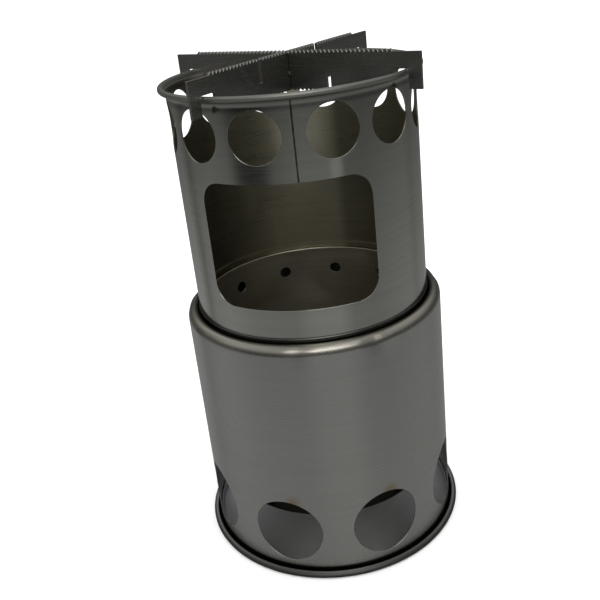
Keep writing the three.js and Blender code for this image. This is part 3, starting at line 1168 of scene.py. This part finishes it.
def strip_outline(slit_level, slits_on_top):
    """The strip seen from the side, with the slots that drop over the rim."""
    slot_top = ring_top + GAP
    low = teeth(LOW_TEETH, STRIP_LOW, -1)
    high = teeth(TOP_TEETH, STRIP_HIGH, 1)
    if slits_on_top:
        high = with_slits(high, slit_level)
    else:
        low = with_slits(low, slit_level)
    right_slot = [
        (HOOK_IN, STRIP_LOW),
        *arc(HOOK_IN + HOOK_CORNER, slot_top - HOOK_CORNER, HOOK_CORNER, 180, 90, 4),
        *arc(HOOK_OUT - HOOK_CORNER, slot_top - HOOK_CORNER, HOOK_CORNER, 90, 0, 4),
        (HOOK_OUT, STRIP_LOW),
    ]
    left_slot = [(-x, z) for x, z in reversed(right_slot)]
    return [
        (-REACH, STRIP_LOW), *left_slot, *low, *right_slot, (REACH, STRIP_LOW),
        (REACH, STRIP_HIGH), *high[::-1], (-REACH, STRIP_HIGH),
    ]


def pot_support(name, azimuth, slit_level, slits_on_top):
    """A strip of its thickness that points to this azimuth, with its edges broken."""
    strip = filled(name, strip_outline(slit_level, slits_on_top))
    bpy.ops.transform.translate(value=(0, -THICK / 2 * MM, 0))
    bpy.ops.mesh.extrude_region_move(TRANSFORM_OT_translate={"value": (0, THICK * MM, 0)})
    close_up()
    strip.rotation_euler.z = math.radians(azimuth - 90)
    apply_place()
    deburr(strip, 0.1, sharper_than=25)
    return strip


# %% Supports: the two strips
LOWER_AZIMUTH = -37.4
UPPER_AZIMUTH = 53.9
lower = pot_support("pot_support_lower_strip", LOWER_AZIMUTH, LOWER_SLIT_LOW, True)
settle(lower, "support_lower", ["pot_support_lower"],
       support_steel("support_steel_lower", LOWER_AZIMUTH))
upper = pot_support("pot_support_upper_strip", UPPER_AZIMUTH, UPPER_SLIT_TOP, False)
settle(upper, "support_upper", ["pot_support_upper"],
       support_steel("support_steel_upper", UPPER_AZIMUTH))

# %% [markdown]
# ## The floor of the stage
#
# The stove stands on a plain white floor. The floor is kept out of the reflections,
# which have surroundings of their own. A dark disc just under the foot stands for the
# stove's own shadow on the table. Only reflections see it, so the rolled foot turns dark
# where it meets the table.

# %% Stage: floor and contact shade
FLOOR_SIZE = 8.0
SHADE_RADIUS = 69.5


def plain_paint(name, tone, roughness):
    """A dull grey paint."""
    paint = bpy.data.materials.new(name)
    paint.use_nodes = True
    inputs = paint.node_tree.nodes["Principled BSDF"].inputs
    inputs["Base Color"].default_value = (*grey(tone), 1)
    inputs["Roughness"].default_value = roughness
    inputs["Specular IOR Level"].default_value = 0.0
    return paint


bpy.ops.object.select_all(action="DESELECT")
bpy.ops.mesh.primitive_plane_add(size=FLOOR_SIZE, location=(0, 0, -0.05 * MM))
ground = bpy.context.object
ground.name = "floor"
ground.visible_glossy = False
ground.data.materials.append(plain_paint("white_floor", 0.9, 0.9))

bpy.ops.object.select_all(action="DESELECT")
bpy.ops.mesh.primitive_circle_add(
    vertices=64, radius=SHADE_RADIUS * MM, fill_type="NGON", location=(0, 0, -0.04 * MM))
shade = bpy.context.object
shade.name = "contact_shade"
for ray in ("visible_camera", "visible_diffuse", "visible_shadow", "visible_transmission"):
    setattr(shade, ray, False)
shade.data.materials.append(plain_paint("shade_black", 0.01, 1.0))
print("stage", ground.name, shade.name)

# %% [markdown]
# ## The studio that the steel reflects
#
# Bright steel only shows what is around it. Cards and lamps could be set up all round,
# but a world does it without anything in the way: one ramp says how bright each height
# is (a pale table low down, a dim room beyond it, a ceiling), another how bright each
# side is, and four soft patches are the dark and light things in the room. The world
# asks whether a ray comes from a reflection, and answers with that studio, or with
# plain white.

# %% World
ELEVATION_STOPS = (  # degrees above the level, and brightness
    (-90, 0.26), (-45, 0.27), (-36, 0.315), (-27, 0.3), (-22, 0.26), (-17, 0.2), (-12, 0.135),
    (-7, 0.08), (8, 0.05), (20, 0.16), (32, 0.33), (45, 0.42), (62, 0.4), (90, 0.3),
)
AZIMUTH_STOPS = (  # azimuth, and how much brighter or dimmer that side is
    (-180, 1.1), (-156, 1.3), (-138, 1.6), (-128, 1.2), (-122, 0.8), (-112, 1.15), (-90, 1.2),
    (-64, 0.95), (-20, 0.8), (0, 1.1), (24, 1.14), (38, 0.75), (60, 0.72), (90, 0.92),
    (112, 1.05), (124, 0.95), (134, 1.15), (150, 1.2), (180, 1.1),
)
PATCHES = (  # azimuth, elevation, width, height, how solid it is, how bright
    (-44, -15.5, 36, 7, 0.95, 0.005),
    (-46, -9.0, 44, 8, 0.85, 0.015),
    (33, -15.5, 13, 5, 0.75, 0.42),
    (4, 46.0, 46, 28, 0.95, 2.1),
)
BRIGHTEST = 1.7
TABLE_NEAR, TABLE_FAR = -38, -22
PLAIN_WHITE = 1.65


def toward(azimuth, elevation):
    """The direction from the stove to an azimuth and an elevation in degrees."""
    a, e = math.radians(azimuth), math.radians(elevation)
    return Vector((math.sin(a) * math.cos(e), -math.cos(a) * math.cos(e), math.sin(e)))


def patch(tree, direction, azimuth, elevation, width, height):
    """A soft oblong mask about one direction, with its width and height in degrees."""
    centre = toward(azimuth, elevation)
    side = math.radians(azimuth)
    level = Vector((math.cos(side), math.sin(side), 0))
    above = centre.cross(level) * -1
    squares = []
    for axis, reach in ((level, width), (above, height)):
        off = math_node(tree, "SUBTRACT", measure(tree, "DOT_PRODUCT", direction, axis), centre.dot(axis))
        share = math_node(tree, "DIVIDE", off, math.radians(reach) / 2)
        squares.append(times(tree, share, share))
    mask = spread(tree, plus(tree, *squares), 0.1, 1.7, 1.0, 0.0)
    front = measure(tree, "DOT_PRODUCT", direction, centre)
    return times(tree, mask, spread(tree, front, 0.0, 0.2, 0.0, 1.0))


def build_world():
    """The studio for reflections and plain white for everything else."""
    world = bpy.data.worlds.new("studio")
    bpy.context.scene.world = world
    world.use_nodes = True
    tree = world.node_tree
    tree.nodes.clear()
    direction = node(tree, "ShaderNodeTexCoord").outputs["Generated"]
    xyz = node(tree, "ShaderNodeSeparateXYZ", {0: direction}).outputs
    level = math_node(tree, "MULTIPLY_ADD", xyz["Z"], 0.5, 0.5)
    up = ramp(tree, level, [
        (0.5 + 0.5 * math.sin(math.radians(a)), grey(v / BRIGHTEST)) for a, v in ELEVATION_STOPS])
    around = ramp(tree, azimuth_share(tree, xyz["X"], xyz["Y"]),
                  [(0.5 + a / 360, grey(v / BRIGHTEST)) for a, v in AZIMUTH_STOPS])
    near, away = (math.sin(math.radians(a)) for a in (TABLE_NEAR, TABLE_FAR))
    far = spread(tree, xyz["Z"], near, away, 0.25, 1.0)
    around = blend_colour(tree, far, (*grey(1 / BRIGHTEST), 1), around)
    glow = blend_colour(tree, 1.0, up, around, mode="MULTIPLY")
    for azimuth, elevation, width, height, solid, tone in PATCHES:
        mask = times(tree, patch(tree, direction, azimuth, elevation, width, height), solid)
        glow = blend_colour(tree, mask, glow, (*grey(tone / BRIGHTEST ** 2), 1))
    studio = node(tree, "ShaderNodeBackground", {"Color": glow, "Strength": BRIGHTEST ** 2})
    plain = node(tree, "ShaderNodeBackground", {"Color": (1, 1, 1, 1), "Strength": PLAIN_WHITE})
    is_glossy = node(tree, "ShaderNodeLightPath").outputs["Is Glossy Ray"]
    mixed = node(tree, "ShaderNodeMixShader", {
        0: is_glossy, 1: plain.outputs[0], 2: studio.outputs[0]})
    node(tree, "ShaderNodeOutputWorld", {"Surface": mixed.outputs[0]})


build_world()
bpy.context.scene.view_settings.view_transform = "Standard"
print("world", bpy.context.scene.world.name)

# %% [markdown]
# ## Light and camera
#
# The world already lights the scene evenly, so one weak soft light from above is enough
# to give the rims their highlights. The camera looks down on the stove from the window's
# side and leans a little, so the stove leans in the picture.

# %% Soft light
def softbox(name, azimuth, elevation, distance, size, power):
    """A square soft light that points at the middle of the stove."""
    target = Vector((0, 0, 0.5 * (cad_box[0][2] + cad_box[1][2])))
    away = toward(azimuth, elevation)
    bpy.ops.object.light_add(type="AREA", location=target + away * distance)
    light = bpy.context.object
    light.name = name
    light.rotation_euler = away.to_track_quat("Z", "Y").to_euler()
    light.data.size = size
    light.data.energy = power
    light.visible_camera = False
    print("light", light.name, "at", tuple(round(side, 3) for side in light.location))


softbox("overhead", azimuth=25, elevation=68, distance=0.9, size=0.5, power=0.4)

# %% Camera
LENS = 48.65
CAMERA = (0.0, -0.37594, 0.28982)
YAW, PITCH, ROLL_ANGLE = -0.804, -22.221, -6.433


def aim(yaw, pitch, roll):
    """The turn of a camera that looks along a yaw from +Y and a pitch, and then rolls."""
    y, p, r = (math.radians(a) for a in (yaw, pitch, roll))
    forward = Vector((math.sin(y) * math.cos(p), math.cos(y) * math.cos(p), math.sin(p)))
    level = Vector((math.cos(y), -math.sin(y), 0))
    above = level.cross(forward)
    right = math.cos(r) * level + math.sin(r) * above
    up = math.cos(r) * above - math.sin(r) * level
    return Matrix((right, up, -forward)).transposed().to_euler()


bpy.ops.object.camera_add(location=CAMERA, rotation=aim(YAW, PITCH, ROLL_ANGLE))
camera = bpy.context.object
camera.data.lens = LENS
camera.data.sensor_width = 36
camera.data.shift_y = -0.05
camera.data.clip_start = 0.01
bpy.context.scene.camera = camera
print("camera at", tuple(camera.location))
